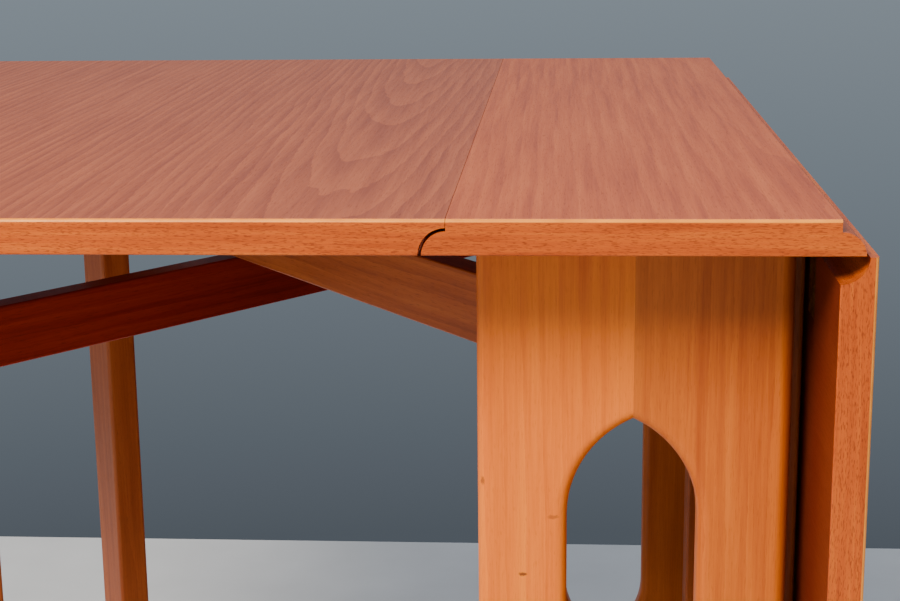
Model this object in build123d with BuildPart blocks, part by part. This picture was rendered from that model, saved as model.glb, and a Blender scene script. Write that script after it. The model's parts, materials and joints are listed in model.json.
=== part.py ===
"""Drop leaf table: a fixed centre top, two leaves on rule joints and four swinging gates.

The base stands on two end panels, each glued up from two boards around a pointed opening.
Two gates swing out under each leaf: one with an upper rail, hung on the near panel, and a longer
one with a lower rail, hung on the far panel, so that the pair folds past each other. Here the left leaf is raised on its
open gates, and the right leaf hangs in front of its folded ones.
Millimetres, +Z up, floor at Z = 0, origin in the middle of the whole footprint.
"""
import os
from math import acos, cos, degrees, radians, sin, sqrt

from build123d import *

os.makedirs("parts", exist_ok=True)

LEFT, RIGHT = -1, 1
NEAR, FAR = -1, 1
side_names = {LEFT: "left", RIGHT: "right"}
end_names = {NEAR: "near", FAR: "far"}

# ---- table top -----------------------------------------------------------------
table_height = 735.0
top_length = 900.0
top_thickness = 20.5
joint_span = 214.0          # between the two joint lines of the fixed top
lip_height = 7.0            # square lip above the quarter round
joint_clearance = 2.0       # between the quarter round and the cove
lip_gap = 0.3               # between the two square lips
leaf_reach = 600.0          # from the joint line to the outer edge of a leaf
lipping = 8.0               # solid strip around each veneered board
arris_top = 2.6
arris_under = 1.0

# ---- end panels ----------------------------------------------------------------
panel_inset = 83.0          # from the end of the top to the outside face of a panel
panel_thickness = 26.5
panel_width = 190.0
panel_edge_round = 8.0
opening_width = 80.0
opening_arc = 68.5
opening_apex = 140.0        # of the upper point, below the table's face
opening_foot = 130.0        # of the lower point, above the floor
opening_round = 7.0
foot_cut_half = 46.0
foot_cut_slope = 8.0
foot_cut_height = 9.0

# ---- gates ---------------------------------------------------------------------
gate_open = {NEAR: 38.0, FAR: 39.5}         # degrees from folded, by the gate's hinge end
arm_length = {NEAR: 590.0, FAR: 646.0}      # from the hinge pin to the middle of the leg
rail_drop = {NEAR: 61.0, FAR: 122.0}        # from the table's face to the top of the rail
rail_height = 46.0
rail_thickness = 21.0
rail_arris = 1.5
leg_width = 44.0
leg_thickness = 27.0
leg_arris = 3.0
leg_top_gap = 0.4
leg_leaf_gap = 2.0          # between a folded leg and a hanging leaf
relief_depth = 1.5          # so that a folded leg clears the other gate's rail
relief_margin = 1.0

# ---- hinges --------------------------------------------------------------------
flap_length = 24.0
flap_plate = 1.6
flap_knuckle = 3.2
flap_pin = 1.5
top_flap_reach = 33.0
leaf_flap_reach = 58.0
hinge_setback = 105.0       # outer hinges, from the ends of the top
recess_slack = 0.3
lift_relief = 0.6           # above a leaf flap, where it passes under the quarter round
butt_length = 40.0
butt_plate = 1.5
butt_knuckle = 2.4
butt_pin = 1.2
butt_reach = 18.0
butt_fold_gap = 0.2
knuckle_gap = 0.3
bore_slack = 0.05

# ---- dowels, screws and glides -------------------------------------------------
dowel_radius = 4.0
dowel_slack = 0.05
panel_dowel_length = 40.0
panel_dowel_heights = [30.0, 122.0, 612.0]
rail_dowel_in_rail = 14.0
rail_dowel_in_leg = 18.0
rail_dowel_spread = (12.0, 10.0)
screw_shank = 1.5
screw_head = 3.0
screw_head_depth = 1.5
screw_slack = 0.15
screw_slot = (0.8, 0.7)     # width and depth of the driver slot
flap_screw_length = 13.0
butt_screw_length = 17.0
cleat_screw_length = 42.0
glide_radius = 9.0
glide_thickness = 3.0
glide_nail_radius = 1.2
glide_nail_length = 12.0
glide_offset = 75.0         # panel glides, from the middle of the base

# ---- hidden framing ------------------------------------------------------------
spine_thickness = 22.0
spine_height = 90.0
stretcher_height = 60.0
stretcher_bottom = 48.0
tenon_thickness = 12.0
tenon_length = 14.0
tenon_shoulder = 12.0
tenon_slack = 0.1
cleat_height = 30.0
cleat_width = 28.0
cleat_inner = 14.0
cleat_outer = 70.0
stop_length = 44.0
stop_width = 14.0
stop_height = 12.0
stop_gap = 1.0

# ---- derived -------------------------------------------------------------------
underside = table_height - top_thickness
half_span = joint_span / 2
half_length = top_length / 2
core_half = half_length - lipping
ovolo = top_thickness - lip_height
cove = ovolo + joint_clearance
base_x = (leaf_reach - top_thickness) / 2
panel_inner = half_length - panel_inset - panel_thickness
panel_middle = panel_inner + panel_thickness / 2
pin_standoff = butt_knuckle + butt_fold_gap
leg_outer = half_span - leg_leaf_gap
rail_outer = leg_outer - leg_thickness
pivot_side = rail_outer + pin_standoff
pivot_end = panel_inner - pin_standoff
rail_start = 2 * butt_plate + butt_fold_gap - pin_standoff
hinge_stations = [hinge_setback - half_length, 0.0, half_length - hinge_setback]
gate_places = [(side, end) for side in (LEFT, RIGHT) for end in (NEAR, FAR)]
level_names = {NEAR: "upper", FAR: "lower"}

# Screw places of a hinge plate: distance from the pin, and place along the pin.
top_flap_spots = [(14.0, 0.0), (25.0, -6.5), (25.0, 6.5)]
leaf_flap_spots = [(22.0, 0.0), (32.0, -6.5), (42.0, 6.5), (52.0, -6.5)]
butt_spots = [(11.0, -12.0), (11.0, 12.0)]


def finish(builder, name):
    """Label a finished piece and write it as one STEP file."""
    builder.part.label = name
    export_step(builder.part, f"parts/{name}.step")


def block(x_range, y_range, z_range, mode=Mode.ADD):
    """Box between the given limits, in the active locations."""
    ranges = (x_range, y_range, z_range)
    with Locations(tuple((low + high) / 2 for low, high in ranges)):
        Box(*(high - low for low, high in ranges), mode=mode)


def rod(radius, low, high, mode=Mode.ADD):
    """Cylinder on the local z axis between two heights."""
    with Locations((0, 0, (low + high) / 2)):
        Cylinder(radius, high - low, mode=mode)


def sorted_span(*values):
    """The lower and the higher of two coordinates."""
    return tuple(sorted(values))


# ---- planes --------------------------------------------------------------------
def upright(y, side=RIGHT):
    """Plane across the table: local x outwards on the given side, local y up."""
    return Plane(origin=(base_x, y, 0), x_dir=(side, 0, 0), z_dir=(0, -side, 0))


def joint_plane(side, station=0.0):
    """On the fixed side of a rule joint: x from the axis inwards, y up."""
    origin = (base_x + side * half_span, station, underside)
    return Plane(origin=origin, x_dir=(-side, 0, 0), z_dir=(0, side, 0))


def leaf_plane(side, station=0.0):
    """On a leaf's side of its joint: x towards the outer edge, y towards its upper face."""
    origin = (base_x + side * half_span, station, underside)
    if side == LEFT:
        return Plane(origin=origin, x_dir=(-1, 0, 0), z_dir=(0, 1, 0))
    return Plane(origin=origin, x_dir=(0, 0, -1), z_dir=(0, -1, 0))


def outward_turn(side, end):
    """+1 where a gate opens anticlockwise seen from above, otherwise -1."""
    return side * end


def gate_angle(side, end):
    """The left gates stand open, and the right ones are folded."""
    return gate_open[end] if side == LEFT else 0.0


def gate_plane(side, end, angle):
    """On a gate's pin at floor level: x along the arm, y outwards times outward_turn."""
    folded = 90.0 if end == NEAR else -90.0
    pin = Plane(origin=(base_x + side * pivot_side, end * pivot_end, 0))
    return pin.rotated((0, 0, folded + outward_turn(side, end) * angle))


def rail_bottom(end):
    """Height of the underside of the rail of the gates hung on a panel."""
    return table_height - rail_drop[end] - rail_height


def fixed_butt_plane(side, end):
    """On a gate hinge's pin: x inwards along the panel, y away from the panel."""
    height = rail_bottom(end) + rail_height / 2
    origin = (base_x + side * pivot_side, end * pivot_end, height)
    return Plane(origin=origin, x_dir=(-side, 0, 0), z_dir=(0, 0, side * end))


def moving_butt_plane(side, end):
    """The same for the plate on the rail's end: x across the rail, y along the arm."""
    turn = outward_turn(side, end)
    gate = gate_plane(side, end, gate_angle(side, end))
    height = rail_bottom(end) + rail_height / 2
    origin = gate.origin + Vector(0, 0, height)
    return Plane(origin=origin, x_dir=gate.y_dir * -turn, z_dir=(0, 0, turn))


# ---- hinge hardware ------------------------------------------------------------
def screw_places(spots, face, into):
    """Screw places on a hinge plate, heads in the given face, points towards into * y."""
    return [Location((x, face, z), (into * 90, 0, 0)) for x, z in spots]


def screws(length):
    """Countersunk wood screws, heads flush with local z = 0, points downwards."""
    align = (Align.CENTER, Align.CENTER, Align.MAX)
    Cylinder(screw_shank, length, align=align)
    Cone(screw_shank, screw_head, screw_head_depth, align=align)
    Box(4 * screw_head, screw_slot[0], 2 * screw_slot[1], mode=Mode.SUBTRACT)


def screw_bores(length):
    """Clearance bores for the shanks of screws."""
    align = (Align.CENTER, Align.CENTER, Align.MAX)
    Cylinder(
        screw_shank + screw_slack, length + screw_slack, align=align, mode=Mode.SUBTRACT
    )


def countersinks():
    """Clearance for the heads and shanks of screws through a hinge plate."""
    align = (Align.CENTER, Align.CENTER, Align.MAX)
    shank = screw_shank + screw_slack
    Cylinder(shank, screw_head_depth * 2, align=align, mode=Mode.SUBTRACT)
    Cone(
        shank, screw_head + screw_slack, screw_head_depth, align=align, mode=Mode.SUBTRACT
    )


def hinge_plates(planes, reach, plate, knuckle, pin, length, middle, spots, into):
    """Hinge plates, one on each plane, with either the middle knuckle or the two outer ones.

    Each plane lies on a pin, with x along the plate, and plate gives the limits of its y.
    """
    third = length / 6
    inner = (-third + knuckle_gap / 2, third - knuckle_gap / 2)
    outer = [(-length / 2, -third - knuckle_gap / 2), (third + knuckle_gap / 2, length / 2)]
    own, other = ([inner], outer) if middle else (outer, [inner])
    with BuildPart() as plates:
        with Locations(*planes):
            block((0, reach), plate, (-length / 2, length / 2))
            for low, high in other:
                rod(
                    knuckle + knuckle_gap,
                    low - knuckle_gap,
                    high + knuckle_gap,
                    mode=Mode.SUBTRACT,
                )
            for low, high in own:
                rod(knuckle, low, high)
            rod(pin + bore_slack, -length, length, mode=Mode.SUBTRACT)
            with Locations(*screw_places(spots, plate[0] if into > 0 else plate[1], into)):
                countersinks()
    return plates


def hinge_pins(planes, radius, length):
    """One pin on each plane, as long as the knuckles."""
    with BuildPart() as pins:
        with Locations(*planes):
            rod(radius, -length / 2, length / 2)
    return pins


def hinge_screws(planes, spots, face, into, length):
    """The screws of the plates on the given planes."""
    with BuildPart() as group:
        with Locations(*planes):
            with Locations(*screw_places(spots, face, into)):
                screws(length)
    return group


joint_planes = [joint_plane(side, y) for side in (LEFT, RIGHT) for y in hinge_stations]
fixed_butt_planes = [fixed_butt_plane(side, end) for side, end in gate_places]
fixed_butt_limits = (-pin_standoff, butt_plate - pin_standoff)
moving_butt_limits = (rail_start - butt_plate, rail_start)


# ---- fixed top -----------------------------------------------------------------
with BuildPart() as whole_top:
    with BuildSketch(upright(0)):
        with BuildLine():
            Line((-half_span, table_height), (half_span, table_height))
            Line((half_span, table_height), (half_span, table_height - lip_height))
            CenterArc((half_span, underside), ovolo, 90, -90)
            Line((half_span + ovolo, underside), (-half_span - ovolo, underside))
            CenterArc((-half_span, underside), ovolo, 180, -90)
            Line((-half_span, table_height - lip_height), (-half_span, table_height))
        make_face()
    extrude(amount=half_length, both=True)
    fillet(whole_top.faces().filter_by(Axis.Y).edges().group_by(Axis.Z)[-1], arris_top)
    fillet(whole_top.faces().filter_by(Axis.Y).edges().group_by(Axis.Z)[0], arris_under)
    with Locations(*joint_planes):
        half_groove = flap_length / 2 + recess_slack
        groove = (-half_groove, half_groove)
        seat = (0, top_flap_reach + recess_slack)
        block(seat, (-top_thickness, flap_plate), groove, mode=Mode.SUBTRACT)
        relief = (-top_thickness, flap_plate + lift_relief)
        block((-cove, 0), relief, groove, mode=Mode.SUBTRACT)
        rod(flap_knuckle + knuckle_gap, -half_groove, half_groove, mode=Mode.SUBTRACT)
        with Locations(*screw_places(top_flap_spots, 0, 1)):
            screw_bores(flap_screw_length)

cleat_screw_planes = [
    Plane(
        origin=(
            base_x + side * (cleat_inner + cleat_outer) / 2,
            end * (panel_inner - cleat_width / 2),
            underside - cleat_height,
        ),
        z_dir=(0, 0, -1),
    )
    for side, end in gate_places
]

with BuildPart() as fixed_top_board:
    add(whole_top.part)
    with Locations((base_x, 0, table_height)):
        Box(2 * joint_span, 2 * core_half, 2 * table_height, mode=Mode.INTERSECT)
    with Locations(*cleat_screw_planes):
        screw_bores(cleat_screw_length)
finish(fixed_top_board, "fixed_top_board")

for end in (NEAR, FAR):
    with BuildPart() as top_lipping:
        add(whole_top.part)
        with Locations((base_x, end * (core_half + lipping), table_height)):
            Box(2 * joint_span, 2 * lipping, 2 * table_height, mode=Mode.INTERSECT)
    finish(top_lipping, f"{end_names[end]}_top_lipping")


# ---- leaves --------------------------------------------------------------------
def build_leaf(side):
    """One whole leaf with its cove, before it is parted into a board and its lippings."""
    cove_top = sqrt(cove**2 - lip_gap**2)
    up = Axis.Z if side == LEFT else Axis.X
    out = Axis.X if side == LEFT else Axis.Z
    with BuildPart() as leaf:
        with BuildSketch(leaf_plane(side)):
            with BuildLine():
                Line((lip_gap, cove_top), (lip_gap, top_thickness))
                Line((lip_gap, top_thickness), (leaf_reach, top_thickness))
                Line((leaf_reach, top_thickness), (leaf_reach, 0))
                Line((leaf_reach, 0), (cove, 0))
                CenterArc((0, 0), cove, 0, degrees(acos(lip_gap / cove)))
            make_face()
        extrude(amount=half_length, both=True)
        for level, radius in ((-1, arris_top), (0, arris_under)):
            edge_face = leaf.faces().filter_by(out).sort_by(out)[0]
            rim = leaf.faces().filter_by(Axis.Y).edges() + edge_face.edges()
            fillet(rim.group_by(up)[level], radius)
        with Locations(*(leaf_plane(side, y) for y in hinge_stations)):
            half_seat = flap_length / 2 + recess_slack
            seat = (0, leaf_flap_reach + recess_slack)
            block(seat, (-1, flap_plate), (-half_seat, half_seat), mode=Mode.SUBTRACT)
            with Locations(*screw_places(leaf_flap_spots, 0, 1)):
                screw_bores(flap_screw_length)
    return leaf.part


def leaf_piece(side, whole, x_range, z_range, name):
    """The part of a whole leaf between limits along and across it."""
    with BuildPart() as piece:
        add(whole)
        with Locations(leaf_plane(side)):
            block(x_range, (-top_thickness, 2 * top_thickness), z_range, mode=Mode.INTERSECT)
    finish(piece, f"{side_names[side]}_leaf_{name}")


def stop_place(end):
    """A stop block's place in a leaf's plane, against the outside of an open leg."""
    angle = radians(gate_open[end])
    outside = leg_thickness - pin_standoff + stop_gap + stop_width / 2
    reach = arm_length[end] * sin(angle) + outside * cos(angle)
    back = arm_length[end] * cos(angle) - outside * sin(angle)
    return pivot_side + reach - half_span, end * (pivot_end - back)


for side in (LEFT, RIGHT):
    prefix = side_names[side]
    whole_leaf = build_leaf(side)
    board_reach = leaf_reach - lipping
    board_span = (-core_half, core_half)
    leaf_piece(side, whole_leaf, (0, board_reach), board_span, "board")
    leaf_piece(side, whole_leaf, (board_reach, 2 * leaf_reach), board_span, "edge_lipping")
    for end in (NEAR, FAR):
        local_end = end if side == LEFT else -end
        strip = sorted_span(local_end * core_half, local_end * 2 * half_length)
        leaf_piece(side, whole_leaf, (0, 2 * leaf_reach), strip, f"{end_names[end]}_lipping")

    leaf_planes = [leaf_plane(side, y) for y in hinge_stations]
    flaps = hinge_plates(
        leaf_planes, leaf_flap_reach, (0, flap_plate), flap_knuckle, flap_pin,
        flap_length, True, leaf_flap_spots, 1,
    )
    finish(flaps, f"{prefix}_leaf_hinge_flaps")
    flap_screws = hinge_screws(leaf_planes, leaf_flap_spots, 0, 1, flap_screw_length)
    finish(flap_screws, f"{prefix}_leaf_hinge_screws")

    with BuildPart() as stops:
        with Locations(leaf_plane(side)):
            for end in (NEAR, FAR):
                x, y = stop_place(end)
                z = y if side == LEFT else -y
                turn = 90 - gate_open[end]
                turn = turn if side * end < 0 else -turn
                with Locations(Location((x, -stop_height / 2, z), (0, turn, 0))):
                    Box(stop_length, stop_height, stop_width)
    finish(stops, f"{prefix}_leaf_stops")


# ---- end panels ----------------------------------------------------------------
arch_rise = sqrt(opening_arc**2 - (opening_arc - opening_width / 2) ** 2)
arch_turn = degrees(acos((opening_arc - opening_width / 2) / opening_arc))
arch_centre = opening_width / 2 - opening_arc
upper_spring = table_height - opening_apex - arch_rise
lower_spring = opening_foot + arch_rise
spine_bottom = underside - spine_height


def tenon_blocks(end, bottom, height, slack, mode):
    """A tenon of the spine or the stretcher in a panel, or with slack its mortise."""
    reach = sorted_span(end * (panel_inner - slack), end * (panel_inner + tenon_length + slack))
    half = tenon_thickness / 2 + slack
    rise = (bottom + tenon_shoulder - slack, bottom + height - tenon_shoulder + slack)
    block((base_x - half, base_x + half), reach, rise, mode=mode)


def panel_dowel_planes(end):
    """Across the glue line of a panel."""
    return [
        Plane(origin=(base_x, end * panel_middle, z), z_dir=(1, 0, 0))
        for z in panel_dowel_heights
    ]


def panel_glide_plane(side, end):
    """Under a panel's foot, with z up."""
    return Plane(origin=(base_x + side * glide_offset, end * panel_middle, 0))


for side, end in gate_places:
    with BuildPart() as panel_board:
        with BuildSketch(upright(end * panel_middle, side)):
            with BuildLine():
                Polyline(
                    (0, foot_cut_height + glide_thickness),
                    (foot_cut_half, foot_cut_height + glide_thickness),
                    (foot_cut_half + foot_cut_slope, glide_thickness),
                    (panel_width / 2, glide_thickness),
                    (panel_width / 2, underside),
                    (0, underside),
                    close=True,
                )
            make_face()
        extrude(amount=panel_thickness / 2, both=True)
        outer_edges = panel_board.edges().filter_by(Axis.Z).group_by(Axis.X)
        fillet(outer_edges[-1 if side == RIGHT else 0], panel_edge_round)
        with BuildSketch(upright(end * panel_middle, side)):
            with BuildLine():
                Line((0, upper_spring + arch_rise), (0, opening_foot))
                CenterArc((arch_centre, lower_spring), opening_arc, -arch_turn, arch_turn)
                Line((opening_width / 2, lower_spring), (opening_width / 2, upper_spring))
                CenterArc((arch_centre, upper_spring), opening_arc, 0, arch_turn)
            make_face()
        extrude(amount=panel_thickness, both=True, mode=Mode.SUBTRACT)
        new_edges = panel_board.edges(Select.LAST).filter_by(Axis.Y, reverse=True)
        rim = [edge for edge in new_edges if abs(edge.center().X - base_x) > opening_round]
        fillet(rim, opening_round)
        tenon_blocks(end, spine_bottom, spine_height, tenon_slack, Mode.SUBTRACT)
        tenon_blocks(end, stretcher_bottom, stretcher_height, tenon_slack, Mode.SUBTRACT)
        with Locations(*panel_dowel_planes(end)):
            half_dowel = panel_dowel_length / 2 + dowel_slack
            rod(dowel_radius + dowel_slack, -half_dowel, half_dowel, mode=Mode.SUBTRACT)
        with Locations(fixed_butt_plane(side, end)):
            with Locations(*screw_places(butt_spots, fixed_butt_limits[1], -1)):
                screw_bores(butt_screw_length)
        with Locations(panel_glide_plane(side, end)):
            nail_top = glide_thickness + glide_nail_length
            rod(glide_nail_radius + screw_slack, 0, nail_top + screw_slack, mode=Mode.SUBTRACT)
    finish(panel_board, f"{end_names[end]}_panel_{side_names[side]}_board")

with BuildPart() as panel_dowels:
    with Locations(*panel_dowel_planes(NEAR), *panel_dowel_planes(FAR)):
        rod(dowel_radius, -panel_dowel_length / 2, panel_dowel_length / 2)
finish(panel_dowels, "panel_dowels")


# ---- framing between the panels ------------------------------------------------
for name, bottom, height in (
    ("top_spine", spine_bottom, spine_height),
    ("stretcher", stretcher_bottom, stretcher_height),
):
    with BuildPart() as beam:
        half = spine_thickness / 2
        block((base_x - half, base_x + half), (-panel_inner, panel_inner), (bottom, bottom + height))
        for end in (NEAR, FAR):
            tenon_blocks(end, bottom, height, 0, Mode.ADD)
    finish(beam, name)

for end in (NEAR, FAR):
    with BuildPart() as cleats:
        for side in (LEFT, RIGHT):
            block(
                sorted_span(base_x + side * cleat_inner, base_x + side * cleat_outer),
                sorted_span(end * (panel_inner - cleat_width), end * panel_inner),
                (underside - cleat_height, underside),
            )
        with Locations(*cleat_screw_planes):
            screw_bores(cleat_screw_length)
            countersinks()
    finish(cleats, f"{end_names[end]}_cleats")

with BuildPart() as cleat_screws:
    with Locations(*cleat_screw_planes):
        screws(cleat_screw_length)
finish(cleat_screws, "cleat_screws")


def glides(planes):
    """Round plastic glides with a nail, standing on the floor."""
    with BuildPart() as group:
        with Locations(*planes):
            rod(glide_radius, 0, glide_thickness)
            rod(glide_nail_radius, 0, glide_thickness + glide_nail_length)
    return group


finish(glides([panel_glide_plane(side, end) for side, end in gate_places]), "panel_glides")


# ---- fixed hinge parts ---------------------------------------------------------
top_flaps = hinge_plates(
    joint_planes, top_flap_reach, (0, flap_plate), flap_knuckle, flap_pin,
    flap_length, False, top_flap_spots, 1,
)
finish(top_flaps, "top_hinge_plates")
finish(hinge_pins(joint_planes, flap_pin, flap_length), "top_hinge_pins")
finish(hinge_screws(joint_planes, top_flap_spots, 0, 1, flap_screw_length), "top_hinge_screws")

fixed_butts = hinge_plates(
    fixed_butt_planes, butt_reach, fixed_butt_limits, butt_knuckle, butt_pin,
    butt_length, False, butt_spots, -1,
)
finish(fixed_butts, "gate_hinge_fixed_plates")
finish(hinge_pins(fixed_butt_planes, butt_pin, butt_length), "gate_hinge_pins")
fixed_butt_screws = hinge_screws(
    fixed_butt_planes, butt_spots, fixed_butt_limits[1], -1, butt_screw_length
)
finish(fixed_butt_screws, "gate_hinge_fixed_screws")


# ---- gates ---------------------------------------------------------------------
for side, end in gate_places:
    turn = outward_turn(side, end)
    gate = f"{side_names[side]}_{level_names[end]}_gate"
    arm = gate_plane(side, end, gate_angle(side, end))
    leg_middle = (arm_length[end], turn * (leg_thickness / 2 - pin_standoff), 0)
    leg_span = (arm_length[end] - leg_width / 2, arm_length[end] + leg_width / 2)
    low = rail_bottom(end)
    high = low + rail_height
    inner_face = turn * -pin_standoff
    butt = moving_butt_plane(side, end)
    dowel_places = [
        Location((arm_length[end] + sign * along, inner_face, low + rail_height / 2 + sign * up),
                 (turn * -90, 0, 0))
        for along, up in [rail_dowel_spread]
        for sign in (-1, 1)
    ]

    with BuildPart() as rail:
        with Locations(arm):
            across = sorted_span(inner_face, inner_face - turn * rail_thickness)
            block((rail_start, leg_span[1]), across, (low, high))
        along_arm = Axis(origin=arm.origin, direction=arm.x_dir)
        fillet(rail.edges().filter_by(along_arm), rail_arris)
        with Locations(arm):
            with Locations(*dowel_places):
                depth = rail_dowel_in_rail + dowel_slack
                rod(dowel_radius + dowel_slack, -depth, 0, mode=Mode.SUBTRACT)
        with Locations(butt):
            with Locations(*screw_places(butt_spots, moving_butt_limits[0], 1)):
                screw_bores(butt_screw_length)
    finish(rail, f"{gate}_rail")

    with BuildPart() as leg:
        with Locations(arm):
            across = sorted_span(inner_face, inner_face + turn * leg_thickness)
            block(leg_span, across, (glide_thickness, underside - leg_top_gap))
        fillet(leg.edges().filter_by(Axis.Z), leg_arris)
        with Locations(arm):
            other_low = rail_bottom(-end)
            relief = sorted_span(inner_face - turn, inner_face + turn * relief_depth)
            relief_rise = (other_low - relief_margin, other_low + rail_height + relief_margin)
            block((0, top_length), relief, relief_rise, mode=Mode.SUBTRACT)
            with Locations(*dowel_places):
                depth = rail_dowel_in_leg + dowel_slack
                rod(dowel_radius + dowel_slack, 0, depth, mode=Mode.SUBTRACT)
            with Locations(leg_middle):
                nail_top = glide_thickness + glide_nail_length + screw_slack
                rod(glide_nail_radius + screw_slack, 0, nail_top, mode=Mode.SUBTRACT)
    finish(leg, f"{gate}_leg")

    with BuildPart() as rail_dowels:
        with Locations(arm):
            with Locations(*dowel_places):
                rod(dowel_radius, -rail_dowel_in_rail, rail_dowel_in_leg)
    finish(rail_dowels, f"{gate}_dowels")

    foot = Plane(origin=arm.from_local_coords(leg_middle))
    finish(glides([foot]), f"{gate}_glide")

    moving_butt = hinge_plates(
        [butt], butt_reach, moving_butt_limits, butt_knuckle, butt_pin,
        butt_length, True, butt_spots, 1,
    )
    finish(moving_butt, f"{gate}_hinge_plate")
    moving_screws = hinge_screws(
        [butt], butt_spots, moving_butt_limits[0], 1, butt_screw_length
    )
    finish(moving_screws, f"{gate}_hinge_screws")
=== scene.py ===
"""Looks of the drop leaf table: veneered tops, solid panels, gates, brass and the studio."""

import json
import logging
from dataclasses import dataclass, field, replace
from enum import Enum
from math import cos, pi, radians, sin

import bpy
from mathutils import Matrix, Vector


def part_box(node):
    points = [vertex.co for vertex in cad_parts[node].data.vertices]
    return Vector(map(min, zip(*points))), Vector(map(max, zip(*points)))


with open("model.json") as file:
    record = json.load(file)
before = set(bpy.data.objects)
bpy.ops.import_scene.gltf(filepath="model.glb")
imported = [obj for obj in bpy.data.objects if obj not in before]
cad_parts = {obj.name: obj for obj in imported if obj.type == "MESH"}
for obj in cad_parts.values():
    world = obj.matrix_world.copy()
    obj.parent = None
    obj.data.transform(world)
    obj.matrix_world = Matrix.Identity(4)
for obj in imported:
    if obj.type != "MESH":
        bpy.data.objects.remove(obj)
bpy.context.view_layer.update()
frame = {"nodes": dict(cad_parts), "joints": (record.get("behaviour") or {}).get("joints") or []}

logging.basicConfig(level=logging.INFO, format="%(message)s")
log = logging.getLogger("drop_leaf_table")

MM = 0.001
STREAK_STRETCH = 30  # a streak is this many times as long as it is wide
FIBRE_MM = (1.3, 46.0)  # width and length of the finest fibres
PATCH_MM = (90.0, 260.0)  # of the soft broad patches
BEND_MM = (60.0, 300.0)  # of the waves that bend the growth lines
PORE_EDGE = (-0.05, 0.03)  # where a pore's dark middle ends and the wood begins
TONE_STOPS = (0.3, 0.5, 0.7)  # tones of the dark, the middle and the light colour
PORE_DEPTH = -0.7  # height of a pore against the fibres
WAVE_TURN = 20.0  # radians that the wave texture turns per unit at scale 1
MARK_DEPTH_MM = 6.0  # how far a mark reaches into the wood
OIL_GLEAM = 0.3  # an oiled face gleams less than a varnished one
FIBRE_MIX = 0.28  # share of the finest fibres in every grain


class Side(Enum):
    """The two long sides of the table."""

    LEFT = "left"
    RIGHT = "right"


class End(Enum):
    """The two ends of the table."""

    NEAR = "near"
    FAR = "far"


class Run(Enum):
    """Row axis that a grain, or the normal of a veneered face, follows."""

    X = 0
    Y = 1
    Z = 2


# ---- node helpers --------------------------------------------------------------
def linear(hex_colour: str) -> tuple[float, float, float, float]:
    """Turn an sRGB hex colour into linear RGBA.

    Args:
        hex_colour: Six hex digits, with or without a hash.

    Returns:
        The linear colour with alpha 1.
    """
    digits = hex_colour.lstrip("#")
    channels = [int(digits[i:i + 2], 16) / 255 for i in (0, 2, 4)]
    red, green, blue = (
        c / 12.92 if c <= 0.04045 else ((c + 0.055) / 1.055) ** 2.4 for c in channels
    )
    return red, green, blue, 1.0


def add_node(tree, kind: str, inputs: dict | None = None, stops: list | None = None, **settings):
    """Add one node with its settings, values and links.

    Args:
        tree: Node tree that takes the node.
        kind: Class name of the node, without ShaderNode.
        inputs: Socket name or number to a value or to the output socket that feeds it.
        stops: Position and colour pairs of a colour ramp.
        **settings: Attributes to set on the node.

    Returns:
        The new node.
    """
    node = tree.nodes.new("ShaderNode" + kind)
    for name, value in settings.items():
        setattr(node, name, value)
    for name, value in (inputs or {}).items():
        if isinstance(value, bpy.types.NodeSocket):
            tree.links.new(value, node.inputs[name])
        else:
            node.inputs[name].default_value = value
    if stops:
        ramp = node.color_ramp.elements
        while len(ramp) < len(stops):
            ramp.new(1.0)
        for element, (position, colour) in zip(ramp, stops):
            element.position = position
            element.color = colour
    return node


def grey(value: float) -> tuple[float, float, float, float]:
    """Make a neutral ramp colour.

    Args:
        value: Linear level, 0 to 1.

    Returns:
        The linear RGBA colour.
    """
    return value, value, value, 1.0


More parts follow.
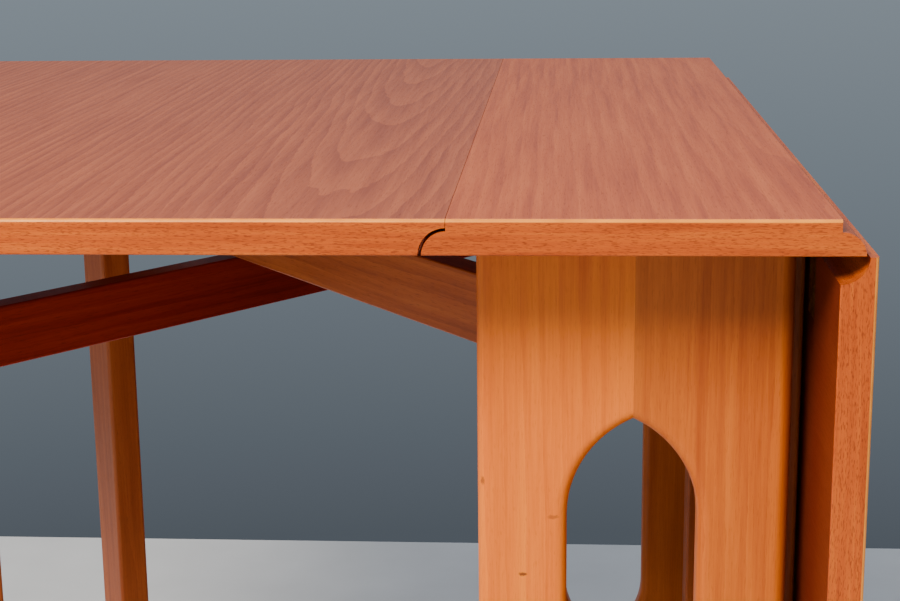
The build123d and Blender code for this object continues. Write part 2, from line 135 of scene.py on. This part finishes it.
# ---- wood ----------------------------------------------------------------------
@dataclass(frozen=True)
class Grain:
    """How one cut of wood looks: colours, streaks, growth lines and pores.

    Sizes are real millimetres. Growth lines are cones around a heart that lies nearly along
    the grain, so a small tilt opens them into arches on the face.
    """

    dark: str
    middle: str
    light: str
    pore: str
    streak_mm: float = 14.0
    streak_mix: float = 0.7
    ring_mm: float = 9.0
    ring_strength: float = 0.1
    heart_mm: tuple[float, float] = (0.0, 0.0)
    heart_tilt_deg: tuple[float, float] = (1.5, 0.5)
    wobble_mm: float = 14.0
    pore_width_mm: float = 0.6
    pore_length_mm: float = 9.0
    pore_strength: float = 0.35
    pore_share: float = 0.36
    patch_strength: float = 0.12
    seed: float = 0.0

    def lay(self, tree, along: Run, face: Run, turn_deg: float = 0.0) -> tuple:
        """Lay this grain over object space.

        Args:
            tree: Material tree that takes the nodes.
            along: Axis that the grain follows.
            face: Axis that is the depth into the board.
            turn_deg: Turn about Z that lays the part along the row's axes.

        Returns:
            The colour socket and a 0 to 1 height socket.
        """
        place = add_node(tree, "TexCoord").outputs["Object"]
        if turn_deg:
            place = add_node(
                tree, "VectorRotate", {"Vector": place, "Angle": radians(turn_deg)},
                rotation_type="Z_AXIS",
            ).outputs[0]
        split = add_node(tree, "SeparateXYZ", {0: place}).outputs
        across = ({0, 1, 2} - {along.value, face.value}).pop()
        # x across the board, y into it, z along the grain
        board = add_node(
            tree, "CombineXYZ", {0: split[across], 1: split[face.value], 2: split[along.value]}
        ).outputs[0]
        shifted = add_node(
            tree, "VectorMath", {0: board, 1: (self.seed,) * 3}, operation="ADD"
        ).outputs[0]

        def stretched(width_mm: float, length_mm: float):
            """Make coordinates in which one unit is a grain of the given size.

            Args:
                width_mm: Width and depth of a grain.
                length_mm: Length of a grain.

            Returns:
                The vector socket.
            """
            scale = (1 / (width_mm * MM), 1 / (width_mm * MM), 1 / (length_mm * MM))
            return add_node(
                tree, "VectorMath", {0: shifted, 1: scale}, operation="MULTIPLY"
            ).outputs[0]

        def noise(width_mm: float, length_mm: float, detail: float, roughness: float):
            """Make noise of grains of the given size.

            Args:
                width_mm: Width and depth of a grain.
                length_mm: Length of a grain.
                detail: Octaves of finer noise.
                roughness: How strong the finer noise is.

            Returns:
                The outputs of the noise node.
            """
            return add_node(
                tree, "TexNoise",
                {"Vector": stretched(width_mm, length_mm), "Scale": 1.0, "Detail": detail,
                 "Roughness": roughness},
            ).outputs

        streaks = noise(self.streak_mm, self.streak_mm * STREAK_STRETCH, 4.0, 0.6)["Fac"]
        fibres = noise(*FIBRE_MM, 3.0, 0.7)["Fac"]
        patches = noise(*PATCH_MM, 2.0, 0.5)["Fac"]
        bend = noise(*BEND_MM, 2.5, 0.5)["Color"]
        pores = noise(self.pore_width_mm, self.pore_length_mm, 1.0, 0.5)["Fac"]

        heart = (self.heart_mm[0] * MM, self.heart_mm[1] * MM, 0.0)
        centred = add_node(tree, "VectorMath", {0: board, 1: heart}, operation="SUBTRACT").outputs[0]
        leaning = add_node(
            tree, "Mapping",
            {"Vector": centred,
             "Rotation": (radians(self.heart_tilt_deg[0]), radians(self.heart_tilt_deg[1]), 0.0)},
        ).outputs[0]
        pushed = add_node(
            tree, "VectorMath", {0: bend, 1: (self.wobble_mm * MM,) * 3, 2: leaning},
            operation="MULTIPLY_ADD",
        ).outputs[0]
        rings = add_node(
            tree, "TexWave",
            {"Vector": pushed, "Scale": 2 * pi / (WAVE_TURN * self.ring_mm * MM),
             "Distortion": 0.8, "Detail": 3.0, "Detail Scale": 1.5, "Detail Roughness": 0.6},
            wave_type="RINGS", rings_direction="Z", wave_profile="SAW",
        ).outputs["Fac"]
        pore_mask = add_node(
            tree, "ValToRGB", {0: pores},
            stops=[(self.pore_share + PORE_EDGE[0], grey(1.0)),
                   (self.pore_share + PORE_EDGE[1], grey(0.0))],
        ).outputs[0]

        # each layer swings about a middle of 0.5, and so does their sum
        tone = 0.5
        for layer, strength in ((streaks, self.streak_mix), (fibres, FIBRE_MIX),
                                (rings, self.ring_strength), (patches, self.patch_strength)):
            swing = add_node(tree, "Math", {0: layer, 1: 0.5}, operation="SUBTRACT").outputs[0]
            tone = add_node(
                tree, "Math", {0: swing, 1: strength, 2: tone}, operation="MULTIPLY_ADD"
            ).outputs[0]
        body = add_node(
            tree, "ValToRGB", {0: tone},
            stops=[(stop, linear(shade)) for stop, shade in
                   zip(TONE_STOPS, (self.dark, self.middle, self.light))],
        ).outputs[0]
        amount = add_node(
            tree, "Math", {0: pore_mask, 1: self.pore_strength}, operation="MULTIPLY"
        ).outputs[0]
        colour = add_node(
            tree, "Mix", {0: amount, 6: body, 7: linear(self.pore)}, data_type="RGBA"
        ).outputs[2]
        height = add_node(
            tree, "Math", {0: pore_mask, 1: PORE_DEPTH, 2: fibres}, operation="MULTIPLY_ADD"
        ).outputs[0]
        return colour, height


# Teak-like veneer, sliced and oiled: red-brown, fine straight streaks with one faint arch.
VENEER = Grain(
    dark="#8C3E1C", middle="#9F4D26", light="#AF5A30", pore="#692A10",
    streak_mm=7.0, streak_mix=0.8, ring_mm=8.0, ring_strength=0.24, heart_mm=(118.0, 700.0),
    heart_tilt_deg=(3.2, 0.0), pore_width_mm=0.55, pore_length_mm=11.0, pore_strength=0.35,
    pore_share=0.35, wobble_mm=16.0,
)
# The fixed top and the hanging leaf are sliced further out, so their streaks run straight.
VENEER_CENTRE = replace(
    VENEER, dark="#9B4119", middle="#B35322", light="#C3622D", ring_mm=10.0,
    ring_strength=0.12, heart_mm=(420.0, 640.0), heart_tilt_deg=(0.6, 0.0), seed=0.21,
)
VENEER_RIGHT = replace(
    VENEER, ring_mm=10.0, ring_strength=0.08, heart_mm=(300.0, 330.0),
    heart_tilt_deg=(1.5, 0.0), seed=0.37,
)
# Solid lipping, planed and oiled: orange-brown, with short dark open pores.
LIPPING = Grain(
    dark="#983C09", middle="#B45011", light="#C66218", pore="#6D2505",
    streak_mm=4.0, ring_mm=5.0, ring_strength=0.08, pore_width_mm=0.55, pore_length_mm=3.4,
    pore_strength=0.6, pore_share=0.41, seed=1.7,
)
# End panels: golden boards with fine, straight, upright grain and soft broad bands.
PANEL_LEFT = Grain(
    dark="#C65609", middle="#E27111", light="#F4861C", pore="#AF4D09",
    streak_mm=13.0, streak_mix=0.5, ring_mm=11.0, ring_strength=0.08,
    heart_mm=(60.0, -300.0), heart_tilt_deg=(0.5, 0.6), pore_width_mm=0.6,
    pore_length_mm=7.0, pore_strength=0.25, pore_share=0.36, patch_strength=0.3, seed=3.1,
)
# The right board is darker: partly its own plank, partly painted shade for the light falling off to
# the right.
PANEL_RIGHT_PARTLY_SHADED = replace(
    PANEL_LEFT, dark="#A44709", middle="#C05F12", light="#D4731C", pore="#8F3E09",
    streak_mm=9.0, heart_mm=(520.0, -290.0), seed=5.3,
)
# Legs: a close, straight grain, browner than the panels.
LEG = Grain(
    dark="#914014", middle="#AA521E", light="#BA622B", pore="#79320F",
    streak_mm=8.0, ring_mm=8.0, ring_strength=0.1, pore_length_mm=7.0, pore_share=0.37, seed=7.9,
)
# The rails are planed and oiled. The lower rails take a redder, darker copy of the upper rails'
# colours: painted shade, as they stand deeper in the shadow under the table.
RAIL_UPPER = Grain(
    dark="#8E3C11", middle="#AE531D", light="#C06629", pore="#742D08",
    streak_mm=9.0, ring_mm=9.0, ring_strength=0.12, pore_share=0.38, seed=9.4,
)
RAIL_LOWER_PAINTED_SHADE = replace(
    RAIL_UPPER, dark="#6E1205", middle="#8E1E0A", light="#A02D13", pore="#550C03", seed=4.6,
)
# Framing under the top: plain brown boards, left with a thinner coat of oil.
HIDDEN = Grain(
    dark="#8E5226", middle="#A5662F", light="#BA7C42", pore="#7A431F",
    streak_mm=12.0, ring_mm=10.0, ring_strength=0.1, pore_strength=0.3, seed=11.2,
)
# Beech dowels: pale, with tiny short flecks.
BEECH = Grain(
    dark="#B98A5C", middle="#CDA074", light="#DAB288", pore="#A87848",
    streak_mm=5.0, ring_mm=4.0, ring_strength=0.06, pore_width_mm=0.6, pore_length_mm=2.5,
    pore_strength=0.4, seed=13.0,
)


@dataclass(frozen=True)
class Mark:
    """A small dark dent or stain on a board's near face, in millimetres."""

    from_left_mm: float
    from_top_mm: float
    size_mm: tuple[float, float]
    colour: str = "#4A1E0C"
    strength: float = 0.8
    ragged_mm: float = 3.0

    def stain(self, tree, colour, board: str):
        """Lay the mark over a colour.

        Args:
            tree: Material tree that takes the nodes.
            colour: Colour socket below the mark.
            board: Name of the CAD node that the mark is on.

        Returns:
            The colour socket with the mark.
        """
        place = add_node(tree, "TexCoord").outputs["Object"]
        rough = add_node(
            tree, "TexNoise", {"Vector": place, "Scale": 420.0, "Detail": 2.0}
        ).outputs["Color"]
        edge = add_node(
            tree, "VectorMath", {0: rough, 1: (self.ragged_mm * MM,) * 3, 2: place},
            operation="MULTIPLY_ADD",
        ).outputs[0]
        low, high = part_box(board)
        corner = Vector((low[0] + self.from_left_mm * MM, low[1], high[2] - self.from_top_mm * MM))
        centre = corner + Vector((self.ragged_mm / 2 * MM,) * 3)
        offset = add_node(
            tree, "VectorMath", {0: edge, 1: tuple(centre)}, operation="SUBTRACT"
        ).outputs[0]
        width, height = self.size_mm
        scale = tuple(1 / (value * MM) for value in (width, MARK_DEPTH_MM, height))
        unit = add_node(tree, "VectorMath", {0: offset, 1: scale}, operation="MULTIPLY").outputs[0]
        reach = add_node(tree, "VectorMath", {0: unit}, operation="LENGTH").outputs["Value"]
        amount = add_node(
            tree, "MapRange", {0: reach, 1: 0.6, 2: 1.0, 3: self.strength, 4: 0.0}
        ).outputs[0]
        return add_node(
            tree, "Mix", {0: amount, 6: colour, 7: linear(self.colour)}, data_type="RGBA"
        ).outputs[2]


# Two small dents and a nick on the left board of the near panel.
NEAR_MARKS = (
    Mark(28.05, 219.7, (3.2, 1.6)),
    Mark(46.55, 181.8, (4.0, 1.5), "#8A3F16", 0.6),
    Mark(2.95, 159.0, (1.6, 3.2), "#7A3614", 0.7),
)


@dataclass(frozen=True)
class OiledWood:
    """Oiled and rubbed solid wood: a low satin sheen that follows the fibres."""

    name: str
    grain: Grain
    roughness: float = 0.38
    relief_mm: float = 0.05
    marks: tuple[Mark, ...] = ()
    marked_board: str = ""

    def make(self, along: Run, face: Run, turn_deg: float = 0.0) -> bpy.types.Material:
        """Build the material.

        Args:
            along: Axis that the grain follows.
            face: Axis that is the depth into the board.
            turn_deg: Turn about Z that lays the part along the row's axes.

        Returns:
            The new material.
        """
        material = bpy.data.materials.new(f"{self.name}_{along.name}{face.name}")
        material.use_nodes = True
        tree = material.node_tree
        colour, height = self.grain.lay(tree, along, face, turn_deg)
        for mark in self.marks:
            colour = mark.stain(tree, colour, self.marked_board)
        finish_surface(tree, colour, height, self.roughness, self.relief_mm)
        return material


def finish_surface(tree, colour, height, roughness: float, relief_mm: float) -> None:
    """Feed the shader with a colour, a satin gloss that varies a little, and a fine relief.

    Args:
        tree: Material tree with the default shader.
        colour: Colour socket.
        height: Height socket, 0 to 1.
        roughness: Middle roughness.
        relief_mm: Depth of the relief.
    """
    shader = tree.nodes["Principled BSDF"]
    shader.inputs["IOR"].default_value = 1.46
    shader.inputs["Specular IOR Level"].default_value = OIL_GLEAM
    gloss = add_node(
        tree, "MapRange", {0: height, 1: 0.0, 2: 1.0, 3: roughness + 0.08, 4: roughness - 0.05}
    ).outputs[0]
    bump = add_node(
        tree, "Bump", {"Strength": 0.6, "Distance": relief_mm * MM, "Height": height}
    ).outputs[0]
    tree.links.new(colour, shader.inputs["Base Color"])
    tree.links.new(gloss, shader.inputs["Roughness"])
    tree.links.new(bump, shader.inputs["Normal"])


@dataclass(frozen=True)
class VeneeredBoard:
    """A veneered board or its lipping: veneer on the two faces, solid wood on the edges.

    The veneer runs over the lippings up to a rounded arris. Its upper rounding at the ends is
    painted pale: partly rubbed wear, partly a painted highlight of the light on the rounding.
    """

    name: str
    veneer: Grain
    face: Run
    # pale colour of the arris: rubbed wear and painted highlight
    arris: str = "#F59A34"
    # painted shade on the face turned away from the light
    underside_painted_shade: str = "#611907"

    def make(self, edge_along: Run) -> bpy.types.Material:
        """Build the material.

        Args:
            edge_along: Axis that the grain of the solid edge follows.

        Returns:
            The new material.
        """
        material = bpy.data.materials.new(f"{self.name}_{edge_along.name}")
        material.use_nodes = True
        tree = material.node_tree
        edge_face = Run.Y if edge_along is not Run.Y else (Run.X if self.face is Run.Z else Run.Z)
        face_colour, face_height = self.veneer.lay(tree, Run.Y, self.face)
        edge_colour, edge_height = LIPPING.lay(tree, edge_along, edge_face)
        normal = add_node(tree, "TexCoord").outputs["Normal"]
        split = add_node(tree, "SeparateXYZ", {0: normal}).outputs
        facing = split[self.face.value]
        level = add_node(tree, "Math", {0: facing}, operation="ABSOLUTE").outputs[0]
        on_face = add_node(
            tree, "MapRange", {0: level, 1: 0.93, 2: 0.985, 3: 0.0, 4: 1.0}
        ).outputs[0]
        # the arris: the upper rounding at the ends, where the normal leaves the face; its pale
        # colour is partly rubbed wear and partly a painted highlight
        rounding = add_node(
            tree, "ValToRGB", {0: facing},
            stops=[(0.18, grey(0.0)), (0.42, grey(1.0)), (0.86, grey(1.0)), (0.965, grey(0.0))],
        ).outputs[0]
        endways = add_node(tree, "Math", {0: split[1]}, operation="ABSOLUTE").outputs[0]
        at_end = add_node(
            tree, "MapRange", {0: endways, 1: 0.12, 2: 0.3, 3: 0.0, 4: 1.0}
        ).outputs[0]
        patches = add_node(
            tree, "TexNoise",
            {"Vector": add_node(tree, "TexCoord").outputs["Object"], "Scale": 38.0, "Detail": 3.0},
        ).outputs["Fac"]
        patchy_wear_and_highlight = add_node(
            tree, "MapRange", {0: patches, 1: 0.3, 2: 0.62, 3: 0.62, 4: 1.0}
        ).outputs[0]
        arris = add_node(tree, "Math", {0: rounding, 1: at_end}, operation="MULTIPLY").outputs[0]
        arris = add_node(tree, "Math", {0: arris, 1: patchy_wear_and_highlight}, operation="MULTIPLY").outputs[0]
        colour = add_node(
            tree, "Mix", {0: on_face, 6: edge_colour, 7: face_colour}, data_type="RGBA"
        ).outputs[2]
        # mix in the pale arris: rubbed wear together with a painted highlight
        colour = add_node(
            tree, "Mix", {0: arris, 6: colour, 7: linear(self.arris)}, data_type="RGBA"
        ).outputs[2]
        # painted shade: the face turned away along the face axis, under the board or inside the
        # hanging leaf, is made redder and darker
        painted_shade_below = add_node(
            tree, "MapRange", {0: facing, 1: -0.9, 2: -0.98, 3: 0.0, 4: 0.88}
        ).outputs[0]
        colour = add_node(
            tree, "Mix", {0: painted_shade_below, 6: colour, 7: linear(self.underside_painted_shade)}, data_type="RGBA"
        ).outputs[2]
        height = add_node(
            tree, "Mix", {0: on_face, 2: edge_height, 3: face_height}, data_type="FLOAT"
        ).outputs[0]
        finish_surface(tree, colour, height, 0.34, 0.03)
        return material


# ---- metal and plastic ---------------------------------------------------------
@dataclass(frozen=True)
class RolledMetal:
    """Rolled and stamped metal, dulled in use: a soft gleam with darker spots and fine lines."""

    name: str
    bright: str
    tarnished: str
    roughness: float

    def make(self) -> bpy.types.Material:
        """Build the material.

        Returns:
            The new material.
        """
        material = bpy.data.materials.new(self.name)
        material.use_nodes = True
        tree = material.node_tree
        place = add_node(tree, "TexCoord").outputs["Object"]
        spots = add_node(
            tree, "TexNoise", {"Vector": place, "Scale": 160.0, "Detail": 5.0, "Roughness": 0.6}
        ).outputs["Fac"]
        lines = add_node(
            tree, "TexNoise",
            {"Vector": add_node(tree, "VectorMath", {0: place, 1: (90.0, 90.0, 1600.0)},
                                operation="MULTIPLY").outputs[0], "Scale": 1.0, "Detail": 2.0},
        ).outputs["Fac"]
        colour = add_node(
            tree, "ValToRGB", {0: spots},
            stops=[(0.35, linear(self.tarnished)), (0.62, linear(self.bright))],
        ).outputs[0]
        shader = tree.nodes["Principled BSDF"]
        shader.inputs["Metallic"].default_value = 1.0
        rough = add_node(
            tree, "MapRange",
            {0: spots, 1: 0.3, 2: 0.7, 3: self.roughness + 0.15, 4: self.roughness - 0.05},
        ).outputs[0]
        bump = add_node(
            tree, "Bump", {"Strength": 0.3, "Distance": 0.02 * MM, "Height": lines}
        ).outputs[0]
        tree.links.new(colour, shader.inputs["Base Color"])
        tree.links.new(rough, shader.inputs["Roughness"])
        tree.links.new(bump, shader.inputs["Normal"])
        return material


@dataclass(frozen=True)
class MouldedPlastic:
    """Moulded polyethylene: matt and slightly uneven, scuffed lighter where it slides."""

    name: str
    dark: str
    scuffed: str

    def make(self) -> bpy.types.Material:
        """Build the material.

        Returns:
            The new material.
        """
        material = bpy.data.materials.new(self.name)
        material.use_nodes = True
        tree = material.node_tree
        place = add_node(tree, "TexCoord").outputs["Object"]
        scuffs = add_node(
            tree, "TexNoise", {"Vector": place, "Scale": 220.0, "Detail": 6.0, "Roughness": 0.7}
        ).outputs["Fac"]
        colour = add_node(
            tree, "ValToRGB", {0: scuffs},
            stops=[(0.4, linear(self.dark)), (0.75, linear(self.scuffed))],
        ).outputs[0]
        shader = tree.nodes["Principled BSDF"]
        shader.inputs["Roughness"].default_value = 0.6
        bump = add_node(
            tree, "Bump", {"Strength": 0.4, "Distance": 0.05 * MM, "Height": scuffs}
        ).outputs[0]
        tree.links.new(colour, shader.inputs["Base Color"])
        tree.links.new(bump, shader.inputs["Normal"])
        return material


def dress(node: str, material: bpy.types.Material) -> None:
    """Give a CAD node its finish.

    Args:
        node: Name of the CAD node.
        material: Finish for all its slots.
    """
    mesh = frame["nodes"][node].data
    if not mesh.materials:
        mesh.materials.append(material)
    for index in range(len(mesh.materials)):
        mesh.materials[index] = material
    log.info("%s: %s", node, material.name)


# ---- sub-assemblies ------------------------------------------------------------
@dataclass
class FixedTop:
    """The narrow centre top with its end lippings."""

    finish: VeneeredBoard = field(
        default_factory=lambda: VeneeredBoard("sliced_veneer_on_fixed_top", VENEER_CENTRE, Run.Z)
    )

    def build(self) -> None:
        """Dress the board and its lippings."""
        dress("fixed_top_board", self.finish.make(Run.Y))
        ends = self.finish.make(Run.X)
        for end in End:
            dress(f"{end.value}_top_lipping", ends)


@dataclass
class Leaf:
    """One leaf with its lippings, flaps, screws and stop blocks."""

    side: Side

    def build(self) -> None:
        """Dress the leaf's own nodes."""
        raised = self.side is Side.LEFT
        finish = VeneeredBoard(
            f"sliced_veneer_on_{self.side.value}_leaf",
            VENEER if raised else VENEER_RIGHT,
            Run.Z if raised else Run.X,
        )
        prefix = f"{self.side.value}_leaf"
        dress(f"{prefix}_board", finish.make(Run.Y))
        dress(f"{prefix}_edge_lipping", finish.make(Run.Y))
        ends = finish.make(Run.X if raised else Run.Z)
        for end in End:
            dress(f"{prefix}_{end.value}_lipping", ends)
        dress(f"{prefix}_hinge_flaps", FINISHES["brass"])
        dress(f"{prefix}_hinge_screws", FINISHES["brass"])
        dress(f"{prefix}_stops", FINISHES["hidden_y"])


@dataclass
class EndPanel:
    """One end panel of two glued boards."""

    end: End

    def build(self) -> None:
        """Dress the two boards, each from its own plank; the right board's darker colours are partly
        painted shade.
        """
        for side, grain in ((Side.LEFT, PANEL_LEFT), (Side.RIGHT, PANEL_RIGHT_PARTLY_SHADED)):
            board = f"{self.end.value}_panel_{side.value}_board"
            marks = NEAR_MARKS if (self.end, side) == (End.NEAR, Side.LEFT) else ()
            finish = OiledWood(f"oiled_{board}", grain, marks=marks, marked_board=board)
            dress(board, finish.make(Run.Z, Run.Y))


@dataclass
class Gate:
    """One swinging gate: rail, leg, dowels, glide and its half of the hinge."""

    side: Side
    level: str

    def turn_deg(self) -> float:
        """Turn about Z that lays the gate along Y.

        Returns:
            The full range of an open gate's folding joint, signed by its axis, otherwise 0.
        """
        wanted = f"{self.side.value}_{self.level}_gate_fold"
        for joint in frame["joints"]:
            if joint["name"] == wanted:
                return joint["axis"][2] * joint["range_deg"][1]
        return 0.0

    def build(self) -> None:
        """Dress the gate's nodes."""
        prefix = f"{self.side.value}_{self.level}_gate"
        # the lower rails get the copy with painted shade
        board = RAIL_UPPER if self.level == "upper" else RAIL_LOWER_PAINTED_SHADE
        leg = OiledWood(f"oiled_{prefix}_leg", LEG)
        rail = OiledWood(f"oiled_{prefix}_rail", board)
        turn = self.turn_deg()
        dress(f"{prefix}_leg", leg.make(Run.Z, Run.Y, turn))
        dress(f"{prefix}_rail", rail.make(Run.Y, Run.X, turn))
        dress(f"{prefix}_dowels", FINISHES["beech"])
        dress(f"{prefix}_glide", FINISHES["plastic"])
        dress(f"{prefix}_hinge_plate", FINISHES["brass"])
        dress(f"{prefix}_hinge_screws", FINISHES["brass"])


@dataclass
class Framing:
    """What ties the panels together, and the fixed fittings."""

    def build(self) -> None:
        """Dress the hidden framing and the fixed hardware."""
        for node in ("top_spine", "stretcher"):
            dress(node, FINISHES["hidden_y"])
        for end in End:
            dress(f"{end.value}_cleats", FINISHES["hidden_x"])
        dress("panel_dowels", FINISHES["beech"])
        dress("cleat_screws", FINISHES["steel"])
        dress("panel_glides", FINISHES["plastic"])
        for node in ("top_hinge_plates", "top_hinge_pins", "top_hinge_screws",
                     "gate_hinge_fixed_plates", "gate_hinge_pins", "gate_hinge_fixed_screws"):
            dress(node, FINISHES["brass"])


FINISHES: dict[str, bpy.types.Material] = {}


def make_shared_finishes() -> None:
    """Make the finishes that several sub-assemblies share."""
    FINISHES["brass"] = RolledMetal("rolled_brass", "#C9A25A", "#7C5A2C", 0.34).make()
    FINISHES["steel"] = RolledMetal("zinc_plated_steel", "#A9ABAD", "#6C6E70", 0.36).make()
    FINISHES["plastic"] = MouldedPlastic("moulded_polyethylene", "#1E1B18", "#3A3530").make()
    FINISHES["hidden_y"] = OiledWood("planed_framing", HIDDEN, 0.5).make(Run.Y, Run.X)
    FINISHES["hidden_x"] = OiledWood("planed_cleats", HIDDEN, 0.5).make(Run.X, Run.Y)
    FINISHES["beech"] = OiledWood("turned_beech", BEECH, 0.5).make(Run.Y, Run.X)


# ---- studio --------------------------------------------------------------------
@dataclass
class Studio:
    """Pale floor, soft lights and the camera."""

    camera_place: tuple[float, float, float] = (0.24814, -1.372, 0.91089)
    camera_yaw_deg: float = 3.921
    camera_pitch_deg: float = 13.473
    camera_roll_deg: float = -0.667
    lens_mm: float = 69.07
    floor_size: float = 20.0
    floor_back: float = 0.94

    def build(self) -> None:
        """Make the floor, the lights, the surroundings and the camera."""
        self.make_floor()
        self.make_lights()
        self.make_camera()

    def make_floor(self) -> None:
        """A plain, pale floor that ends a little behind the table."""
        half = self.floor_size / 2
        mesh = bpy.data.meshes.new("studio_floor")
        back = self.floor_back
        corners = [(-half, -half, 0), (half, -half, 0), (half, back, 0), (-half, back, 0)]
        mesh.from_pydata(corners, [], [(0, 1, 2, 3)])
        floor = bpy.data.objects.new("studio_floor", mesh)
        bpy.context.scene.collection.objects.link(floor)
        material = bpy.data.materials.new("painted_studio_floor")
        material.use_nodes = True
        tree = material.node_tree
        place = add_node(tree, "TexCoord").outputs["Object"]
        clouds = add_node(
            tree, "TexNoise", {"Vector": place, "Scale": 6.0, "Detail": 4.0}
        ).outputs["Fac"]
        colour = add_node(
            tree, "ValToRGB", {0: clouds},
            stops=[(0.3, linear("#C2C3C4")), (0.7, linear("#CCCDCE"))],
        ).outputs[0]
        shader = tree.nodes["Principled BSDF"]
        shader.inputs["Roughness"].default_value = 0.7
        tree.links.new(colour, shader.inputs["Base Color"])
        mesh.materials.append(material)

    def make_lights(self) -> None:
        """A large soft key from the left front, a weak fill and a soft top light."""
        world = bpy.data.worlds.new("studio_surroundings")
        world.use_nodes = True
        tree = world.node_tree
        upward = add_node(
            tree, "SeparateXYZ", {0: add_node(tree, "TexCoord").outputs["Generated"]}
        ).outputs["Z"]
        # slate grey behind the table, paler upwards
        level = add_node(
            tree, "MapRange", {0: upward, 1: -0.4, 2: 0.4, 3: 0.0, 4: 1.0}
        ).outputs[0]
        slate = add_node(
            tree, "ValToRGB", {0: level},
            stops=[(0.05, linear("#515860")), (0.45, linear("#828D96")), (1.0, linear("#98A2AC"))],
        ).outputs[0]
        background = tree.nodes["Background"]
        tree.links.new(slate, background.inputs["Color"])
        background.inputs["Strength"].default_value = 1.0
        bpy.context.scene.world = world
        centre = Vector((0.2, 0.0, 0.6))
        for name, place, size, power, colour in (
            ("soft_key", (-1.4, -2.9, 3.2), 1.6, 310.0, "#FFF3E2"),
            ("soft_top", (0.3, 1.4, 3.4), 2.4, 34.0, "#F4F7FF"),
            ("soft_fill", (2.6, -2.4, 1.6), 2.0, 10.0, "#FFFFFF"),
        ):
            light = bpy.data.lights.new(name, "AREA")
            light.shape = "SQUARE"
            light.size = size
            light.energy = power
            light.color = linear(colour)[:3]
            lamp = bpy.data.objects.new(name, light)
            lamp.location = place
            lamp.rotation_euler = (Vector(place) - centre).to_track_quat("Z", "Y").to_euler()
            bpy.context.scene.collection.objects.link(lamp)

    def make_camera(self) -> None:
        """The camera, aimed by yaw to the left, pitch down and roll."""
        yaw, pitch, roll = (
            radians(a) for a in (self.camera_yaw_deg, self.camera_pitch_deg, self.camera_roll_deg)
        )
        forward = Vector((-sin(yaw) * cos(pitch), cos(yaw) * cos(pitch), -sin(pitch)))
        level = Vector((cos(yaw), sin(yaw), 0))
        upright = level.cross(forward)
        right = level * cos(roll) + upright * sin(roll)
        up = upright * cos(roll) - level * sin(roll)
        turn = Matrix((right, up, -forward)).transposed()
        camera = bpy.data.cameras.new("camera")
        camera.lens = self.lens_mm
        camera.sensor_width = 36.0
        camera.clip_start = 0.05
        holder = bpy.data.objects.new("camera", camera)
        holder.matrix_world = Matrix.Translation(self.camera_place) @ turn.to_4x4()
        bpy.context.scene.collection.objects.link(holder)
        bpy.context.scene.camera = holder


def main() -> None:
    """Build the finishes, dress every sub-assembly and set up the studio."""
    make_shared_finishes()
    parts = [FixedTop(), *(Leaf(side) for side in Side), *(EndPanel(end) for end in End)]
    parts += [Gate(side, level) for side in Side for level in ("upper", "lower")]
    parts.append(Framing())
    for part in parts:
        part.build()
    Studio().build()


if __name__ == "__main__":
    main()
